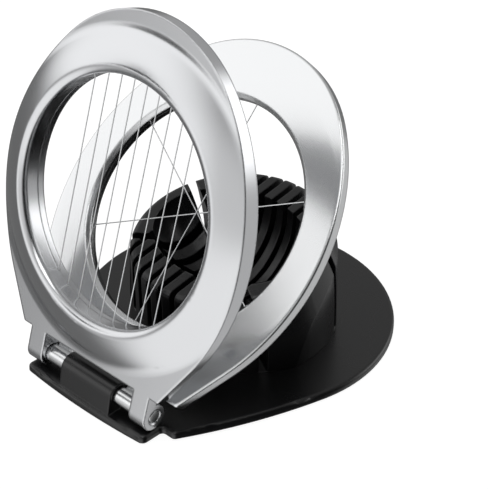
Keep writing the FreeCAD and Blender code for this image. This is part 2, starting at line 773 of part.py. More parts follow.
def dish_profile():
    """What is cut away round the wedger's opening: the opening, its bevelled edge and the cone down to it."""
    hole, outer, low = size("wedger_hole"), size("dish_outer"), size("dish_low")
    ceiling = 2 * size("wedger_rim")
    bevel = hole + size("dish_edge")
    bevel_top = -size("dish_depth") * (outer - bevel) / (outer - hole)
    return [
        ((0, -ceiling), (hole, -ceiling)),
        ((hole, -ceiling), (hole, -low)),
        ((hole, -low), (bevel, bevel_top)),
        ((bevel, bevel_top), (outer, 0)),
        ((outer, 0), (outer, ceiling)),
        ((outer, ceiling), (0, ceiling)),
        ((0, ceiling), (0, -ceiling)),
    ]


def slicer_wire_places():
    """Offsets of the parallel wires along the pin, with half the length of each."""
    places = []
    for number in range(SLICER_WIRES):
        x = (number - (SLICER_WIRES - 1) / 2) * size("slicer_wire_pitch")
        places.append((x, math.sqrt(size("slicer_hole") ** 2 - x ** 2) + size("wire_tuck")))
    return places


def make_slicer_frame():
    body = new_body("slicer_frame")
    outline = draw_leaf(body, "slicer", "Dims.nest_gap")
    add_pad(body, outline, "slicer_blank", "Dims.lip_height + Dims.lip_radius")
    dome = new_sketch(body, "slicer_dome_side", "YZ_Plane", x="Dims.ring_distance")
    drawn = draw_chain(dome, dome_profile())
    hold(dome, "Radius", "lip_radius", drawn[2][0])
    hold(dome, "Radius", "dome_radius", drawn[3][0])
    hold(dome, "DistanceX", "slicer_hole", -1, 1, drawn[1][0], 2)
    hold(dome, "Radius", "crease_round", drawn[4][0])
    hold(dome, "DistanceX", "dome_outer", -1, 1, drawn[5][0], 1)
    hold(dome, "DistanceY", "rim_height", -1, 1, drawn[5][0], 1)
    add_groove(body, dome, "slicer_dome")
    round_foot_corners(body, "slicer")
    add_hinge_parts(body, "slicer", ear_profile(), "hinge_half_width", "ear_inside")
    add_chamfer(body, "slicer_bore_mouths", "ear_bore_chamfer", ends_the_bore)

    centre = size("ring_distance")
    rebate = new_sketch(body, "slicer_rebate_circle", "XY_Plane", z="Dims.nest_gap")
    draw_circles(rebate, [(0, centre)], "slicer_rebate")
    hold(rebate, "DistanceY", "ring_distance", -1, 1, 0, 3)
    add_pocket(body, rebate, "slicer_rebate_cut", "slicer_ring_thickness")
    grooves = new_sketch(body, "slicer_wire_boxes", "XY_Plane", z="Layout.slicer_seam")
    half = size("wire_groove") / 2
    for x, reach in slicer_wire_places():
        end = reach + size("wire_gap")
        draw_box(grooves, (x - half, centre - end), (x + half, centre + end))
    add_pocket(body, grooves, "slicer_wire_grooves", "wire_groove")
    screws = new_sketch(body, "slicer_screw_circles", "XY_Plane", z="Layout.slicer_seam")
    draw_circles(screws, ring_screws("slicer"), "screw_hole")
    add_pocket(body, screws, "slicer_screw_holes", "Dims.slicer_screw_depth + Dims.screw_gap")
    place_in_world(body, "slicer_open")
    return body


def make_back_ring(kind, bottom, thickness):
    """A ring under a frame's opening, bored from below for its screws."""
    body = new_body(f"{kind}_back_ring")
    places = ring_screws(kind)
    circles = new_sketch(body, f"{kind}_ring_circles", "XY_Plane", z=bottom)
    centre = size("ring_distance")
    draw_circles(circles, [(0, centre)], f"{kind}_ring_outer")
    draw_circles(circles, [(0, centre)], f"{kind}_ring_inner")
    for index in range(2):
        hold(circles, "DistanceY", "ring_distance", -1, 1, index, 3)
    add_pad(body, circles, f"{kind}_ring_slab", thickness)
    shanks = new_sketch(body, f"{kind}_ring_screw_circles", "XY_Plane", z=bottom)
    draw_circles(shanks, places, "screw_hole")
    add_pocket(body, shanks, f"{kind}_ring_screw_holes", f"2 * ({thickness})")
    heads = new_sketch(body, f"{kind}_ring_head_circles", "XY_Plane", z=bottom)
    draw_circles(heads, places, "head_hole")
    add_pocket(body, heads, f"{kind}_ring_screw_seats", "head_seat")
    place_in_world(body, f"{kind}_open")
    return body


def make_slicer_wires():
    wires = []
    for number, (x, reach) in enumerate(slicer_wire_places(), 1):
        half = f"sqrt(Dims.slicer_hole ^ 2 - ({x / size('slicer_wire_pitch')} * Dims.slicer_wire_pitch) ^ 2)"
        wire = primitive("Cylinder", f"slicer_wire_{number}", Radius="wire_radius",
                         Height=f"2 * ({half} + Dims.wire_tuck)")
        start = Vector(x, size("ring_distance") - reach, size("slicer_wire_height"))
        wire.Placement = at_pin("slicer_open") * Placement(start, Rotation(ALONG_X, -90))
        wire.Label = f"slicer_wire_{number}"
        wires.append(wire)
    return wires


def make_wedger_frame():
    body = new_body("wedger_frame")
    outline = draw_leaf(body, "wedger", "-Dims.wedger_rim")
    add_pad(body, outline, "wedger_blank", "wedger_rim")
    dish = new_sketch(body, "wedger_dish_side", "YZ_Plane", x="Dims.ring_distance")
    drawn = draw_chain(dish, dish_profile())
    hold(dish, "DistanceX", "wedger_hole", -1, 1, drawn[1][0], 2)
    hold(dish, "DistanceX", "dish_outer", -1, 1, drawn[4][0], 1)
    hold(dish, "DistanceY", "dish_low", drawn[1][0], 2, -1, 1)
    round_foot_corners(body, "wedger")
    add_fillet(body, "wedger_edge", "wedger_edge_round", lambda edge: level_with(edge, 0))
    add_groove(body, dish, "wedger_dish")
    recess = new_sketch(body, "wedger_recess_circle", "XY_Plane", z="-Dims.wedger_rim")
    draw_circles(recess, [(0, size("ring_distance"))], "wedger_recess")
    add_pocket(body, recess, "wedger_underside", "Dims.wedger_rim - Dims.wedger_thickness")
    add_hinge_parts(body, "wedger", wedger_barrel_profile(), "barrel_outside", "barrel_inside")
    screws = new_sketch(body, "wedger_screw_circles", "XY_Plane", z="-Dims.wedger_thickness")
    draw_circles(screws, ring_screws("wedger"), "screw_hole")
    add_pocket(body, screws, "wedger_screw_holes", "Dims.wedger_screw_depth + Dims.screw_gap")
    place_in_world(body, "wedger_open")
    return body


def wedger_wire_reach():
    return size("wedger_hole") + size("wire_tuck")


def make_wedger_ring():
    """The wedger's ring, with a groove of its own depth for each crossed wire."""
    body = make_back_ring("wedger", "Layout.wedger_ring_bottom", "Dims.wedger_ring_thickness - Dims.wire_gap")
    half, reach = size("wire_groove") / 2, wedger_wire_reach() + size("wire_gap")
    centre = Vector(0, size("ring_distance"), 0)
    for number, angle in enumerate(wedger_wire_angles()):
        floor = f"Layout.wedger_wire_top - {number} * Layout.wire_layer - Layout.wire_groove / 2"
        groove = new_sketch(body, f"wedger_groove_{number + 1}_box", "XY_Plane", z=floor)
        along = Vector(math.cos(math.radians(angle)), math.sin(math.radians(angle)), 0)
        across = Vector(-along.y, along.x, 0)
        corners = [centre + along * reach * end + across * half * side
                   for end, side in ((-1, -1), (1, -1), (1, 1), (-1, 1))]
        corners = [(corner.x, corner.y) for corner in corners]
        draw_chain(groove, list(zip(corners, corners[1:] + corners[:1])))
        add_pocket(body, groove, f"wedger_groove_{number + 1}", "wedger_ring_thickness")
    return body


def make_wedger_wires():
    wires = []
    for number, (angle, height) in enumerate(zip(wedger_wire_angles(), wedger_wire_heights()), 1):
        wire = primitive("Cylinder", f"wedger_wire_{number}", Radius="wire_radius",
                         Height="2 * (Dims.wedger_hole + Dims.wire_tuck)")
        along = Vector(math.cos(math.radians(angle)), math.sin(math.radians(angle)), 0)
        start = Vector(0, size("ring_distance"), height) - along * wedger_wire_reach()
        wire.Placement = at_pin("wedger_open") * Placement(start, Rotation(UPWARDS, along))
        wire.Label = f"wedger_wire_{number}"
        wires.append(wire)
    return wires


def make_hinge_pin():
    rod = primitive("Cylinder", "pin_rod", Radius="pin_radius", Height="pin_length")
    pin = doc.addObject("Part::Chamfer", "hinge_pin")
    pin.Base = rod
    bevel = size("pin_chamfer")
    ends = [index for index, edge in enumerate(rod.Shape.Edges, 1) if edge.BoundBox.ZLength < CLOSE]
    pin.Edges = [(index, bevel, bevel) for index in ends]
    doc.recompute()
    pin.Placement = Placement(Vector(-size("pin_length") / 2, size("hinge_y"), size("hinge_z")),
                              Rotation(UPWARDS, ALONG_X))
    pin.Label = "hinge_pin"
    return pin


def screws_on_frame(kind, bottom):
    """World places of a frame's ring screws, their heads let into the ring's underside."""
    return [at_pin(f"{kind}_open") * Placement(Vector(x, y, bottom + size("screw_gap")), Rotation())
            for x, y in ring_screws(kind)]


def make_parts():
    parts = [make_base_plate(), make_hinge_pin()]
    parts += make_feet()
    cup_places = [Placement(Vector(x, y, size("foot_proud") + size("screw_gap")), Rotation())
                  for x, y in screw_circle("cup_screw_circle", "cup_y")]
    parts.append(make_screws(
        "cup_screws", "Dims.base_thickness - Layout.head_seat + Dims.cup_screw_depth", cup_places))
    parts.append(make_slicer_frame())
    parts.append(make_back_ring("slicer", "Dims.nest_gap", "Layout.slicer_ring_thickness"))
    parts += make_slicer_wires()
    parts.append(make_screws(
        "slicer_ring_screws", "Layout.slicer_ring_thickness - Layout.head_seat + Dims.slicer_screw_depth",
        screws_on_frame("slicer", size("nest_gap"))))
    parts += [make_wedger_frame(), make_wedger_ring()]
    parts += make_wedger_wires()
    parts.append(make_screws(
        "wedger_ring_screws", "Dims.wedger_ring_thickness - Layout.head_seat + Dims.wedger_screw_depth",
        screws_on_frame("wedger", size("wedger_ring_bottom"))))
    # The cup comes last, because every recompute after it would cut it again
    parts.append(make_egg_cup())
    doc.recompute()
    return parts


def check_document(parts):
    """Stop before anything is written if a feature failed or a sub-part isn't a sound solid."""
    for thing in doc.Objects:
        if "Invalid" in thing.State or "Error" in thing.State:
            raise RuntimeError(f"{thing.Name} failed to build")
    for part in parts:
        if part.Shape.isNull() or not part.Shape.isValid() or not part.Shape.Solids:
            raise RuntimeError(f"{part.Label} is not a sound solid")


sub_parts = make_parts()
check_document(sub_parts)
os.makedirs("parts", exist_ok=True)
for part in sub_parts:
    part.Shape.exportStep(f"parts/{part.Label}.step")
    print(part.Label, len(part.Shape.Solids), round(part.Shape.Volume, 1))
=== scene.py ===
import json
import math

import bpy
from bpy.props import FloatProperty, FloatVectorProperty, PointerProperty, StringProperty
from mathutils import Matrix, Vector


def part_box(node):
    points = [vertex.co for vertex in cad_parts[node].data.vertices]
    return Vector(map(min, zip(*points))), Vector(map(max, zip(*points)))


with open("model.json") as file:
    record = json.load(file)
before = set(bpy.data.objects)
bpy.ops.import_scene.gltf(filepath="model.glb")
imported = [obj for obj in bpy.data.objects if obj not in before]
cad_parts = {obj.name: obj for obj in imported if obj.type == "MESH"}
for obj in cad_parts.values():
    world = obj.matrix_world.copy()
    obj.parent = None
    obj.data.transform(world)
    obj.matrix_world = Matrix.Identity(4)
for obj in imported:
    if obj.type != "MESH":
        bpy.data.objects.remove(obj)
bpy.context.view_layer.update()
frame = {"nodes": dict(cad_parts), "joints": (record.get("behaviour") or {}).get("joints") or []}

bl_info = {
    "name": "Egg Slicer Looks",
    "version": (1, 0, 0),
    "blender": (4, 5, 0),
    "location": "3D View > Sidebar > Egg Slicer",
    "description": "Dresses the hinged egg slicer in its materials and sets it on a plain studio floor",
    "category": "Object",
}

NODES = frame["nodes"]

# One millimetre in the scene's metres
MM = 0.001

# What the record gives: the pin's place, and how far the two frames stand open at rest
JOINTS = {joint["name"]: joint for joint in frame["joints"]}
PIN = Vector(JOINTS["wedger_hinge"]["pos_m"])
WEDGER_OPEN = math.radians(-JOINTS["wedger_hinge"]["range_deg"][0])
SLICER_OPEN = WEDGER_OPEN + math.radians(-JOINTS["slicer_hinge"]["range_deg"][0])

# Spacings of the patterns in the materials
SHEEN_PATCH = 26 * MM
BUFFED_CLOUD = 18 * MM
BUFFED_RIPPLE = 9 * MM
WIRE_STREAK = 1.5 * MM
PIN_RING = 1.885 * MM
SCREW_RING = 2.513 * MM
RUBBER_BLOOM = 2 * MM
BOARD_MOTTLE = 40 * MM
CARD_MOTTLE = 20 * MM

# How far the roughness strays to either side of its middle
ABS_STRAY = 0.05
SLICER_STRAY = 0.03
WEDGER_STRAY = 0.02
WIRE_STRAY = 0.075

# Stretch of the slicer's highlights by the buffing round its opening
SLICER_BUFFING = 0.3

# Roughness of matt paint, from its smoothest spots to its dullest
MATT_LEAST = 0.85
MATT_MOST = 0.95

# Rays that look for the faces beside an edge that is rounded to the eye
EDGE_SAMPLES = 6

# Length of one wave of the wave texture at a scale of 1
WAVE_LENGTH = 2 * math.pi / 20

# The mix node's sockets for colours, which come after those for numbers and vectors
FIRST_COLOUR = 6
SECOND_COLOUR = 7
MIXED_COLOUR = 2

# Values of the camera and the stage that stay as they are
SENSOR_WIDTH_MM = 36.0
NEAREST_SEEN = 0.01
FURTHEST_SEEN = 20.0
LIGHT_AIM = Vector((0, 0, 50 * MM))
CARD_SIDES = 48
WHITE = "#ffffff"
CARD_BLACK = "#050505"

# The studio's shares of full brightness by turn in degrees, 0 in front and 90 on the right
SHARES_BELOW = (
    (-180, 0.15), (-50, 0.15), (-24, 1.0), (42, 1.0),
    (56, 0.03), (118, 0.03), (128, 0.5), (170, 0.5),
)
SHARES_ABOVE = (
    (-180, 1.0), (42, 1.0), (58, 0.05), (116, 0.05),
    (128, 0.65), (160, 0.65), (180, 1.0),
)

# Heights, as sines, between which the ground gives way to the sky
GROUND_ENDS = -0.1
SKY_STARTS = 0.12

# The soft lights: the property that holds the brightness, the turn and height of the middle in degrees,
# and the half-angles in degrees within which the light is full and beyond which it is gone
SOFT_LIGHTS = (
    ("front_light", -55, 22, 18, 54),
    ("low_light", 10, 8, 12, 42),
    ("back_light", 152, 12, 10, 30),
)


def middle(node):
    """The middle of a node's box at rest."""
    low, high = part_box(node)
    return (low + high) / 2


def facing(angle):
    """The way that a frame's face looks when the frame stands open by an angle."""
    return Vector((0, -math.sin(angle), math.cos(angle)))


def direction(turn, rise):
    """The way to a turn about the object, 0 in front of it, and a rise above the horizon."""
    return Vector((math.sin(turn) * math.cos(rise), -math.cos(turn) * math.cos(rise), math.sin(rise)))


def linear(hex_colour):
    """An sRGB hex colour as linear red, green, blue and alpha."""
    channels = [int(hex_colour[i:i + 2], 16) / 255 for i in (1, 3, 5)]
    return [c / 12.92 if c <= 0.04045 else ((c + 0.055) / 1.055) ** 2.4 for c in channels] + [1]


def add_node(tree, kind, inputs=None, **settings):
    """Add a shader node, set its options, and fill or link its inputs."""
    node = tree.nodes.new(kind)
    for name, value in settings.items():
        setattr(node, name, value)
    for name, value in (inputs or {}).items():
        socket = node.inputs[name]
        if isinstance(value, bpy.types.NodeSocket):
            tree.links.new(value, socket)
        else:
            socket.default_value = value
    return node


def new_material(name):
    """An empty node material, with its tree and the piece's own coordinates."""
    material = bpy.data.materials.new(name)
    material.use_nodes = True
    tree = material.node_tree
    tree.nodes.clear()
    place = add_node(tree, "ShaderNodeTexCoord").outputs["Object"]
    return material, tree, place


def dress(names, material):
    """Give shown nodes one material."""
    for name in names:
        slots = NODES[name].data.materials
        slots.clear()
        slots.append(material)


# Materials of the object


def moulded_abs(props):
    """Black ABS, injection moulded in a spark-eroded tool: a soft satin sheen broken by a fine grain."""
    material, tree, place = new_material("black_abs_moulded_satin")
    # The real grain is about a tenth of a millimetre, too fine to show, so this one is coarser
    grain = add_node(tree, "ShaderNodeTexNoise", {
        "Vector": place, "Scale": 1 / props.abs_grain, "Detail": 3})
    patches = add_node(tree, "ShaderNodeTexNoise", {
        "Vector": place, "Scale": 1 / SHEEN_PATCH, "Detail": 2})
    gloss = add_node(tree, "ShaderNodeMapRange", {
        "Value": patches.outputs["Fac"],
        "To Min": props.abs_roughness - ABS_STRAY, "To Max": props.abs_roughness + ABS_STRAY})
    tint = add_node(tree, "ShaderNodeMix", {
        "Factor": grain.outputs["Fac"],
        FIRST_COLOUR: linear(props.abs_colour), SECOND_COLOUR: linear(props.abs_grain_colour)},
        data_type="RGBA")
    edges = add_node(tree, "ShaderNodeBevel", {"Radius": props.abs_edge}, samples=EDGE_SAMPLES)
    bump = add_node(tree, "ShaderNodeBump", {
        "Height": grain.outputs["Fac"], "Strength": 0.12, "Distance": 0.05 * MM,
        "Normal": edges.outputs["Normal"]})
    shader = add_node(tree, "ShaderNodeBsdfPrincipled", {
        "Base Color": tint.outputs[MIXED_COLOUR], "Roughness": gloss.outputs["Result"], "IOR": 1.54,
        "Normal": bump.outputs["Normal"]})
    add_node(tree, "ShaderNodeOutputMaterial", {"Surface": shader.outputs["BSDF"]})
    return material


def round_the_ring(tree, place, centre, axis):
    """Directions that run round an opening, as the marks of a buffing wheel do."""
    outwards = add_node(tree, "ShaderNodeVectorMath", {0: place, 1: centre}, operation="SUBTRACT")
    around = add_node(tree, "ShaderNodeVectorMath", {
        0: axis, 1: outwards.outputs["Vector"]}, operation="CROSS_PRODUCT")
    unit = add_node(tree, "ShaderNodeVectorMath", {0: around.outputs["Vector"]}, operation="NORMALIZE")
    world = add_node(tree, "ShaderNodeVectorTransform", {"Vector": unit.outputs["Vector"]},
                     vector_type="VECTOR", convert_from="OBJECT", convert_to="WORLD")
    return world.outputs["Vector"]


def plated_metal(name, colour, roughness, stray, buffing, edge, centre, axis):
    """Zinc alloy, die cast, buffed and plated: soft bright reflections, which buffing fans out."""
    material, tree, place = new_material(name)
    cloud = add_node(tree, "ShaderNodeTexNoise", {
        "Vector": place, "Scale": 1 / BUFFED_CLOUD, "Detail": 3})
    gloss = add_node(tree, "ShaderNodeMapRange", {
        "Value": cloud.outputs["Fac"], "To Min": roughness - stray, "To Max": roughness + stray})
    ripple = add_node(tree, "ShaderNodeTexNoise", {
        "Vector": place, "Scale": 1 / BUFFED_RIPPLE, "Detail": 1})
    edges = add_node(tree, "ShaderNodeBevel", {"Radius": edge}, samples=EDGE_SAMPLES)
    waves = add_node(tree, "ShaderNodeBump", {
        "Height": ripple.outputs["Fac"], "Strength": 0.03, "Distance": 0.2 * MM,
        "Normal": edges.outputs["Normal"]})
    shader = add_node(tree, "ShaderNodeBsdfPrincipled", {
        "Base Color": linear(colour), "Metallic": 1.0, "Roughness": gloss.outputs["Result"],
        "Anisotropic": buffing, "Tangent": round_the_ring(tree, place, centre, axis),
        "Normal": waves.outputs["Normal"]})
    add_node(tree, "ShaderNodeOutputMaterial", {"Surface": shader.outputs["BSDF"]})
    return material


def drawn_wire(props):
    """Stainless steel wire, drawn through a die: bright, with faint streaks and spots along it."""
    material, tree, place = new_material("stainless_wire_drawn")
    # The real streaks are a few hundredths of a millimetre, so these are coarser, to show at all
    streak = add_node(tree, "ShaderNodeTexNoise", {
        "Vector": place, "Scale": 1 / WIRE_STREAK, "Detail": 2})
    gloss = add_node(tree, "ShaderNodeMapRange", {
        "Value": streak.outputs["Fac"],
        "To Min": props.wire_roughness - WIRE_STRAY, "To Max": props.wire_roughness + WIRE_STRAY})
    shader = add_node(tree, "ShaderNodeBsdfPrincipled", {
        "Base Color": linear(props.wire_colour), "Metallic": 1.0, "Roughness": gloss.outputs["Result"]})
    add_node(tree, "ShaderNodeOutputMaterial", {"Surface": shader.outputs["BSDF"]})
    return material


def turned_steel(name, colour, roughness, ring, centre):
    """Steel with the marks of turning: fine rings about a line along X, which catch the light."""
    material, tree, place = new_material(name)
    moved = add_node(tree, "ShaderNodeVectorMath", {0: place, 1: centre}, operation="SUBTRACT")
    # The real rings are about a tenth of a millimetre apart, too fine to show, so these are coarser
    rings = add_node(tree, "ShaderNodeTexWave", {
        "Vector": moved.outputs["Vector"], "Scale": WAVE_LENGTH / ring, "Distortion": 0.4},
        wave_type="RINGS", rings_direction="X")
    marks = add_node(tree, "ShaderNodeBump", {
        "Height": rings.outputs["Fac"], "Strength": 0.15, "Distance": 0.05 * MM})
    shader = add_node(tree, "ShaderNodeBsdfPrincipled", {
        "Base Color": linear(colour), "Metallic": 1.0, "Roughness": roughness,
        "Normal": marks.outputs["Normal"]})
    add_node(tree, "ShaderNodeOutputMaterial", {"Surface": shader.outputs["BSDF"]})
    return material


def moulded_rubber(props):
    """Black rubber, moulded: matt, with a dusty bloom and a fine grain."""
    material, tree, place = new_material("black_rubber_moulded")
    bloom = add_node(tree, "ShaderNodeTexNoise", {
        "Vector": place, "Scale": 1 / RUBBER_BLOOM, "Detail": 4})
    tint = add_node(tree, "ShaderNodeMix", {
        "Factor": bloom.outputs["Fac"],
        FIRST_COLOUR: linear(props.rubber_colour), SECOND_COLOUR: linear(props.rubber_bloom_colour)},
        data_type="RGBA")
    bump = add_node(tree, "ShaderNodeBump", {
        "Height": bloom.outputs["Fac"], "Strength": 0.2, "Distance": 0.1 * MM})
    shader = add_node(tree, "ShaderNodeBsdfPrincipled", {
        "Base Color": tint.outputs[MIXED_COLOUR], "Roughness": 0.75, "IOR": 1.52,
        "Normal": bump.outputs["Normal"]})
    add_node(tree, "ShaderNodeOutputMaterial", {"Surface": shader.outputs["BSDF"]})
    return material


# Materials of the stage


def painted_floor(props):
    """White board, matt painted and lit from below: an even pale ground."""
    material, tree, place = new_material("white_board_matt_painted")
    mottle = add_node(tree, "ShaderNodeTexNoise", {
        "Vector": place, "Scale": 1 / BOARD_MOTTLE, "Detail": 2})
    gloss = add_node(tree, "ShaderNodeMapRange", {
        "Value": mottle.outputs["Fac"], "To Min": MATT_LEAST, "To Max": MATT_MOST})
    shader = add_node(tree, "ShaderNodeBsdfPrincipled", {
        "Base Color": linear(props.floor_colour), "Roughness": gloss.outputs["Result"],
        "Specular IOR Level": 0.2,
        "Emission Color": linear(WHITE), "Emission Strength": props.floor_glow})
    add_node(tree, "ShaderNodeOutputMaterial", {"Surface": shader.outputs["BSDF"]})
    return material


def painted_card():
    """Card painted matt black: it gives polished metal something dark to mirror."""
    material, tree, place = new_material("black_card_matt_painted")
    mottle = add_node(tree, "ShaderNodeTexNoise", {
        "Vector": place, "Scale": 1 / CARD_MOTTLE, "Detail": 2})
    gloss = add_node(tree, "ShaderNodeMapRange", {
        "Value": mottle.outputs["Fac"], "To Min": MATT_LEAST, "To Max": MATT_MOST})
    shader = add_node(tree, "ShaderNodeBsdfPrincipled", {
        "Base Color": linear(CARD_BLACK), "Roughness": gloss.outputs["Result"], "Specular IOR Level": 0.1})
    add_node(tree, "ShaderNodeOutputMaterial", {"Surface": shader.outputs["BSDF"]})
    return material


# Values that a user would change


class EggSlicerFinish(bpy.types.PropertyGroup):
    """Colours and finishes of the pieces."""

    abs_colour: StringProperty(
        name="Plastic", description="Colour of the black mouldings", default="#070708")
    abs_grain_colour: StringProperty(
        name="Plastic grain colour", description="Colour of the grain's lighter spots", default="#0d0d0e")
    abs_roughness: FloatProperty(
        name="Plastic roughness", description="Satin of the mouldings", default=0.28,
        subtype="FACTOR", min=0, max=1)
    abs_grain: FloatProperty(
        name="Plastic grain", description="Spacing of the mouldings' grain", default=0.35 * MM,
        subtype="DISTANCE", unit="LENGTH", precision=5)
    abs_edge: FloatProperty(
        name="Plastic edges", description="Rounding of the mouldings' edges to the eye", default=0.8 * MM,
        subtype="DISTANCE", unit="LENGTH", precision=5)
    plated_edge: FloatProperty(
        name="Plated edges", description="Rounding of the frames' edges to the eye", default=0.9 * MM,
        subtype="DISTANCE", unit="LENGTH", precision=5)
    slicer_colour: StringProperty(
        name="Slicer plating", description="Colour of the slicer's plating", default="#d0d1d3")
    slicer_roughness: FloatProperty(
        name="Slicer roughness", description="Satin of the slicer", default=0.2,
        subtype="FACTOR", min=0, max=1)
    wedger_colour: StringProperty(
        name="Wedger plating", description="Colour of the wedger's plating", default="#dcddde")
    wedger_roughness: FloatProperty(
        name="Wedger roughness", description="Polish of the wedger", default=0.2,
        subtype="FACTOR", min=0, max=1)
    wire_colour: StringProperty(name="Wire", description="Colour of the drawn wire", default="#e2e3e4")
    wire_roughness: FloatProperty(
        name="Wire roughness", description="Dullness of the drawn wire", default=0.375,
        subtype="FACTOR", min=0, max=1)
    pin_colour: StringProperty(name="Pin", description="Colour of the turned pin", default="#d6d7d8")
    pin_roughness: FloatProperty(
        name="Pin roughness", description="Polish of the turned pin", default=0.24,
        subtype="FACTOR", min=0, max=1)
    screw_colour: StringProperty(
        name="Screws", description="Colour of the screws' plating", default="#b9bcc2")
    screw_roughness: FloatProperty(
        name="Screw roughness", description="Dullness of the screws", default=0.35,
        subtype="FACTOR", min=0, max=1)
    rubber_colour: StringProperty(name="Rubber", description="Colour of the feet", default="#141414")
    rubber_bloom_colour: StringProperty(
        name="Rubber bloom", description="Colour of the dusty bloom on the feet", default="#2b2b2b")


class EggSlicerStage(bpy.types.PropertyGroup):
    """Camera, light and floor."""

    azimuth: FloatProperty(
        name="Azimuth", description="Camera's turn about the object, 0 looking along +Y",
        default=math.radians(42.78), subtype="ANGLE")
    elevation: FloatProperty(
        name="Elevation", description="Camera's height above the horizon",
        default=math.radians(33.27), subtype="ANGLE")
    roll: FloatProperty(
        name="Roll", description="Camera's turn about its own line of sight",
        default=math.radians(1.19), subtype="ANGLE")
    distance: FloatProperty(
        name="Distance", description="Camera's distance from its target", default=0.5778,
        subtype="DISTANCE", unit="LENGTH")
    target: FloatVectorProperty(
        name="Target", description="Point that the camera looks at", default=(-0.00725, 0.02007, 0.02135),
        subtype="XYZ", unit="LENGTH")
    lens: FloatProperty(
        name="Lens", description="Focal length in millimetres", default=121.67, unit="CAMERA")
    floor_size: FloatProperty(
        name="Floor size", description="Length of the board's side", default=12.0,
        subtype="DISTANCE", unit="LENGTH")
    floor_colour: StringProperty(name="Floor", description="Colour of the board", default="#808080")
    floor_glow: FloatProperty(
        name="Floor glow", description="Light that the board gives by itself", default=0.92)
    sky: FloatProperty(name="Sky", description="Brightness of the plain sky", default=0.45)
    ground: FloatProperty(name="Ground", description="Brightness of the lit ground", default=1.2)
    front_light: FloatProperty(
        name="Front light", description="Brightness of the soft light in front", default=0.85)
    low_light: FloatProperty(
        name="Low light", description="Brightness of the glow low in front", default=0.35)
    back_light: FloatProperty(
        name="Back light", description="Brightness of the soft light behind", default=1.7)
    soft_box_place: FloatVectorProperty(
        name="Soft box", description="Place of the soft box above", default=(0.25, -0.25, 1.1),
        subtype="XYZ", unit="LENGTH")
    soft_box_size: FloatProperty(
        name="Soft box size", description="Length of the soft box's side", default=0.6,
        subtype="DISTANCE", unit="LENGTH")
    soft_box_power: FloatProperty(
        name="Soft box power", description="Power of the soft box", default=2.5, unit="POWER")
    card_place: FloatVectorProperty(
        name="Black card", description="Place of the black card in front on the left",
        default=(-0.156, -0.222, 0.187), subtype="XYZ", unit="LENGTH")
    card_radius: FloatProperty(
        name="Black card radius", description="Radius of the black card", default=48 * MM,
        subtype="DISTANCE", unit="LENGTH")


# Pieces of the object


class EGGSLICER_OT_mouldings(bpy.types.Operator):
    """Finish the base and the cup as black mouldings"""

    bl_idname = "egg_slicer.mouldings"
    bl_label = "Base and Cup"

    def execute(self, context):
        dress(["base_plate", "egg_cup"], moulded_abs(context.scene.egg_slicer_finish))
        return {"FINISHED"}


class EGGSLICER_OT_slicer_frame(bpy.types.Operator):
    """Finish the domed frame and its ring in satin plating"""

    bl_idname = "egg_slicer.slicer_frame"
    bl_label = "Slicer Frame"

    def execute(self, context):
        props = context.scene.egg_slicer_finish
        plating = plated_metal(
            "zinc_alloy_satin_plated", props.slicer_colour, props.slicer_roughness, SLICER_STRAY,
            buffing=SLICER_BUFFING, edge=props.plated_edge,
            centre=middle("slicer_back_ring"), axis=facing(SLICER_OPEN))
        dress(["slicer_frame", "slicer_back_ring"], plating)
        return {"FINISHED"}


class EGGSLICER_OT_wedger_frame(bpy.types.Operator):
    """Finish the flat frame and its ring in mirror plating"""

    bl_idname = "egg_slicer.wedger_frame"
    bl_label = "Wedger Frame"

    def execute(self, context):
        props = context.scene.egg_slicer_finish
        plating = plated_metal(
            "zinc_alloy_mirror_plated", props.wedger_colour, props.wedger_roughness, WEDGER_STRAY,
            buffing=0.0, edge=props.plated_edge,
            centre=middle("wedger_back_ring"), axis=facing(WEDGER_OPEN))
        dress(["wedger_frame", "wedger_back_ring"], plating)
        return {"FINISHED"}


class EGGSLICER_OT_wires(bpy.types.Operator):
    """Finish every cutting wire as drawn steel"""

    bl_idname = "egg_slicer.wires"
    bl_label = "Wires"

    def execute(self, context):
        names = [name for name in NODES if "_wire_" in name]
        dress(names, drawn_wire(context.scene.egg_slicer_finish))
        return {"FINISHED"}


class EGGSLICER_OT_fasteners(bpy.types.Operator):
    """Finish the pin and the screws as turned steel"""

    bl_idname = "egg_slicer.fasteners"
    bl_label = "Pin and Screws"

    def execute(self, context):
        props = context.scene.egg_slicer_finish
        pin = turned_steel("stainless_pin_turned", props.pin_colour, props.pin_roughness, PIN_RING, PIN)
        dress(["hinge_pin"], pin)
        screws = turned_steel("steel_screw_zinc_plated", props.screw_colour, props.screw_roughness,
                              SCREW_RING, middle("cup_screws"))
        dress([name for name in NODES if name.endswith("_screws")], screws)
        return {"FINISHED"}


class EGGSLICER_OT_feet(bpy.types.Operator):
    """Finish the four feet as moulded rubber"""

    bl_idname = "egg_slicer.feet"
    bl_label = "Feet"

    def execute(self, context):
        names = [name for name in NODES if name.startswith("rubber_foot")]
        dress(names, moulded_rubber(context.scene.egg_slicer_finish))
        return {"FINISHED"}


# Stage


def add_floor(props):
    """A plain board that the metal doesn't mirror."""
    bpy.ops.mesh.primitive_plane_add(size=props.floor_size, location=(0, 0, 0))
    floor = bpy.context.object
    floor.name = "floor"
    floor.data.materials.append(painted_floor(props))
    floor.visible_glossy = False


def add_glow(tree, towards, centre, full, gone, brightness):
    """A soft patch of the studio, full within one half-angle of its centre and gone beyond the other."""
    nearness = add_node(tree, "ShaderNodeVectorMath", {0: towards, 1: centre}, operation="DOT_PRODUCT")
    patch = add_node(tree, "ShaderNodeMapRange", {
        "Value": nearness.outputs["Value"], "From Min": math.cos(gone), "From Max": math.cos(full),
        "To Max": brightness}, interpolation_type="SMOOTHSTEP")
    return patch.outputs["Result"]


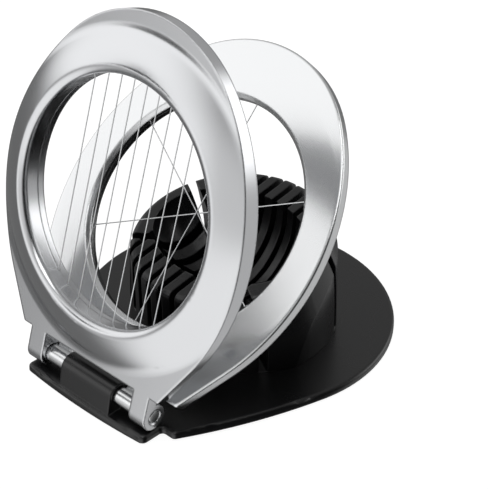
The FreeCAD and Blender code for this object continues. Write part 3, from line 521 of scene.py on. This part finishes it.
def add_walls(tree, turn, brightness, shares):
    """Brightness round the studio, from pairs of a turn in degrees and a share of the full brightness."""
    once_round = add_node(tree, "ShaderNodeMapRange", {
        "Value": turn, "From Min": -math.pi, "From Max": math.pi})
    ramp = add_node(tree, "ShaderNodeValToRGB", {"Fac": once_round.outputs["Result"]})
    ramp.color_ramp.interpolation = "EASE"
    stops = ramp.color_ramp.elements
    while len(stops) < len(shares):
        stops.new(1.0)
    for stop, (degrees, share) in zip(stops, shares):
        stop.position = (degrees + 180) / 360
        stop.color = (share, share, share, 1)
    lit = add_node(tree, "ShaderNodeMath", {0: ramp.outputs["Color"], 1: brightness}, operation="MULTIPLY")
    return lit.outputs["Value"]


def add_studio(props):
    """A plain studio: soft lights before and behind, a dark gap on the right, dark ground on the left."""
    world = bpy.data.worlds.new("studio")
    world.use_nodes = True
    tree = world.node_tree
    tree.nodes.clear()
    towards = add_node(tree, "ShaderNodeTexCoord").outputs["Generated"]
    parts = add_node(tree, "ShaderNodeSeparateXYZ", {"Vector": towards})
    forwards = add_node(tree, "ShaderNodeMath", {0: parts.outputs["Y"], 1: -1.0}, operation="MULTIPLY")
    turn = add_node(tree, "ShaderNodeMath", {
        0: parts.outputs["X"], 1: forwards.outputs["Value"]}, operation="ARCTAN2").outputs["Value"]
    below = add_walls(tree, turn, props.ground, SHARES_BELOW)
    above = add_walls(tree, turn, props.sky, SHARES_ABOVE)
    for light, *degrees in SOFT_LIGHTS:
        azimuth, elevation, full, gone = map(math.radians, degrees)
        glow = add_glow(tree, towards, direction(azimuth, elevation), full, gone, getattr(props, light))
        above = add_node(tree, "ShaderNodeMath", {0: above, 1: glow}, operation="ADD").outputs["Value"]
    horizon = add_node(tree, "ShaderNodeMapRange", {
        "Value": parts.outputs["Z"], "From Min": GROUND_ENDS, "From Max": SKY_STARTS},
        interpolation_type="SMOOTHSTEP")
    whole = add_node(tree, "ShaderNodeMix", {
        "Factor": horizon.outputs["Result"], "A": below, "B": above}, data_type="FLOAT")
    back = add_node(tree, "ShaderNodeBackground", {
        "Color": linear(WHITE), "Strength": whole.outputs["Result"]})
    add_node(tree, "ShaderNodeOutputWorld", {"Surface": back.outputs["Background"]})
    bpy.context.scene.world = world


def add_card(props):
    """A round black card, held off the object, that only reflections see."""
    bpy.ops.mesh.primitive_circle_add(
        vertices=CARD_SIDES, radius=props.card_radius, fill_type="NGON", location=props.card_place)
    card = bpy.context.object
    card.name = "black_card"
    card.rotation_mode = "QUATERNION"
    card.rotation_quaternion = (Vector(props.card_place) - middle("egg_cup")).to_track_quat("Z", "Y")
    card.data.materials.append(painted_card())
    card.visible_camera = False
    card.visible_diffuse = False
    card.visible_shadow = False


def add_soft_box(props):
    """A square soft box above that looks at the object."""
    data = bpy.data.lights.new("soft_box_above", "AREA")
    data.shape = "SQUARE"
    data.size = props.soft_box_size
    data.energy = props.soft_box_power
    light = bpy.data.objects.new("soft_box_above", data)
    light.location = props.soft_box_place
    light.rotation_mode = "QUATERNION"
    light.rotation_quaternion = (LIGHT_AIM - Vector(props.soft_box_place)).to_track_quat("-Z", "Y")
    bpy.context.scene.collection.objects.link(light)


def add_camera(props):
    """Set the camera at the photograph's view."""
    away = direction(props.azimuth, props.elevation)
    right = (-away).cross(Vector((0, 0, 1))).normalized()
    up = right.cross(-away)
    tilted = math.cos(props.roll) * right + math.sin(props.roll) * up
    data = bpy.data.cameras.new("photo_camera")
    data.lens = props.lens
    data.sensor_width = SENSOR_WIDTH_MM
    data.clip_start = NEAREST_SEEN
    data.clip_end = FURTHEST_SEEN
    camera = bpy.data.objects.new("photo_camera", data)
    turn = Matrix((tilted, away.cross(tilted), away)).transposed().to_4x4()
    camera.matrix_world = Matrix.Translation(Vector(props.target) + away * props.distance) @ turn
    bpy.context.scene.collection.objects.link(camera)
    bpy.context.scene.camera = camera


class EGGSLICER_OT_stage(bpy.types.Operator):
    """Lay the floor, hang the lights and set the camera"""

    bl_idname = "egg_slicer.stage"
    bl_label = "Stage"

    def execute(self, context):
        props = context.scene.egg_slicer_stage
        add_floor(props)
        add_studio(props)
        add_card(props)
        add_soft_box(props)
        add_camera(props)
        context.scene.view_settings.view_transform = "Standard"
        return {"FINISHED"}


class EGGSLICER_PT_panel(bpy.types.Panel):
    """Lists the operators and their values in the sidebar."""

    bl_label = "Egg Slicer"
    bl_idname = "EGGSLICER_PT_panel"
    bl_space_type = "VIEW_3D"
    bl_region_type = "UI"
    bl_category = "Egg Slicer"

    def draw(self, context):
        for operator in OPERATORS:
            self.layout.operator(operator.bl_idname)
        for values in (context.scene.egg_slicer_finish, context.scene.egg_slicer_stage):
            for name in values.__annotations__:
                self.layout.prop(values, name)


OPERATORS = (
    EGGSLICER_OT_mouldings,
    EGGSLICER_OT_slicer_frame,
    EGGSLICER_OT_wedger_frame,
    EGGSLICER_OT_wires,
    EGGSLICER_OT_fasteners,
    EGGSLICER_OT_feet,
    EGGSLICER_OT_stage,
)
CLASSES = (EggSlicerFinish, EggSlicerStage) + OPERATORS + (EGGSLICER_PT_panel,)


def register():
    """Make the operators, their values and the panel known to Blender."""
    for cls in CLASSES:
        bpy.utils.register_class(cls)
    bpy.types.Scene.egg_slicer_finish = PointerProperty(type=EggSlicerFinish)
    bpy.types.Scene.egg_slicer_stage = PointerProperty(type=EggSlicerStage)


def unregister():
    """Take back what register made known."""
    del bpy.types.Scene.egg_slicer_stage
    del bpy.types.Scene.egg_slicer_finish
    for cls in reversed(CLASSES):
        bpy.utils.unregister_class(cls)


def main():
    """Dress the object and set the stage."""
    register()
    bpy.ops.egg_slicer.mouldings()
    bpy.ops.egg_slicer.slicer_frame()
    bpy.ops.egg_slicer.wedger_frame()
    bpy.ops.egg_slicer.wires()
    bpy.ops.egg_slicer.fasteners()
    bpy.ops.egg_slicer.feet()
    bpy.ops.egg_slicer.stage()


if __name__ == "__main__":
    main()
